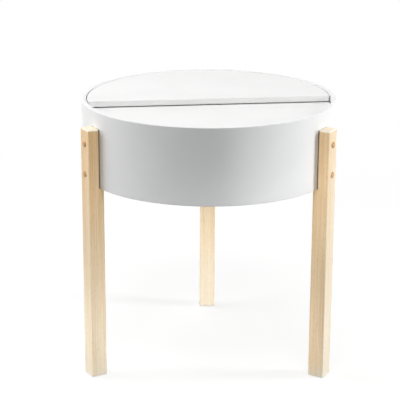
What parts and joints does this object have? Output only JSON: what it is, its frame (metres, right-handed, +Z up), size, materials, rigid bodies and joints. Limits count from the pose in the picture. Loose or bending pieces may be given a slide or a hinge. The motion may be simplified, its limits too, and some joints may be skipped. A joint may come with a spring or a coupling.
{
  "type": "lift top end table",
  "caption": "Round white drum end table on square wooden legs, with a half-moon lid that lifts on end pivots over a storage space and a fixed lower front panel.",
  "frame": {"origin": "middle of the footprint's bounding box at floor level; the drum's vertical axis stands 12.5 mm in front of it, because the back leg and its plugs reach further out than the drum's front", "axes": "+Z up, +Y towards the back leg, +X to the right seen from the front; the lid's pivot line is turned 7.2 degrees about +Z from +X"},
  "size_m": [0.5079, 0.533, 0.546],
  "materials": {
    "white_shell": "satin white lacquer on bent plywood",
    "white_top": "satin white lacquer on board",
    "white_inside": "matt white lacquer",
    "plain_block": "unfinished planed pine",
    "leg_wood": "clear matt lacquer on rubberwood",
    "plug_wood": "clear matt lacquer, end grain",
    "zinc_steel": "zinc plated",
    "pin_steel": "ground steel",
    "nylon": "natural nylon",
    "felt": "pressed felt"
  },
  "bodies": {
    "table": {"drum_shell": "white_shell", "base_ring": "white_inside", "base_panel": "white_inside", "lid_ledge": "white_inside", "panel_ledge": "white_inside", "cross_rail": "white_inside", "rail_block_left": "plain_block", "rail_block_right": "plain_block", "front_panel": "white_top", "panel_screws": "zinc_steel", "lid_rest_pads": "felt", "pivot_bush_left": "nylon", "pivot_bush_right": "nylon", "leg_front_left": "leg_wood", "leg_front_right": "leg_wood", "leg_back": "leg_wood", "plugs_front_left": "plug_wood", "plugs_front_right": "plug_wood", "plugs_back": "plug_wood", "backing_block_front_left": "plain_block", "backing_block_front_right": "plain_block", "backing_block_back": "plain_block", "foot_glide_front_left": "nylon", "foot_glide_front_right": "nylon", "foot_glide_back": "nylon", "leg_bolts": "zinc_steel", "leg_washers": "zinc_steel", "leg_nuts": "zinc_steel"},
    "lid": {"lift_lid": "white_top", "pivot_pin_left": "pin_steel", "pivot_pin_right": "pin_steel"}
  },
  "joints": [
    {"name": "lid_pivot", "type": "hinge", "parent": "table", "child": "lid", "pos_m": [0, -0.0125, 0.5397], "axis": [0.9921, 0.1253, 0], "range_deg": [0, 180]}
  ]
}
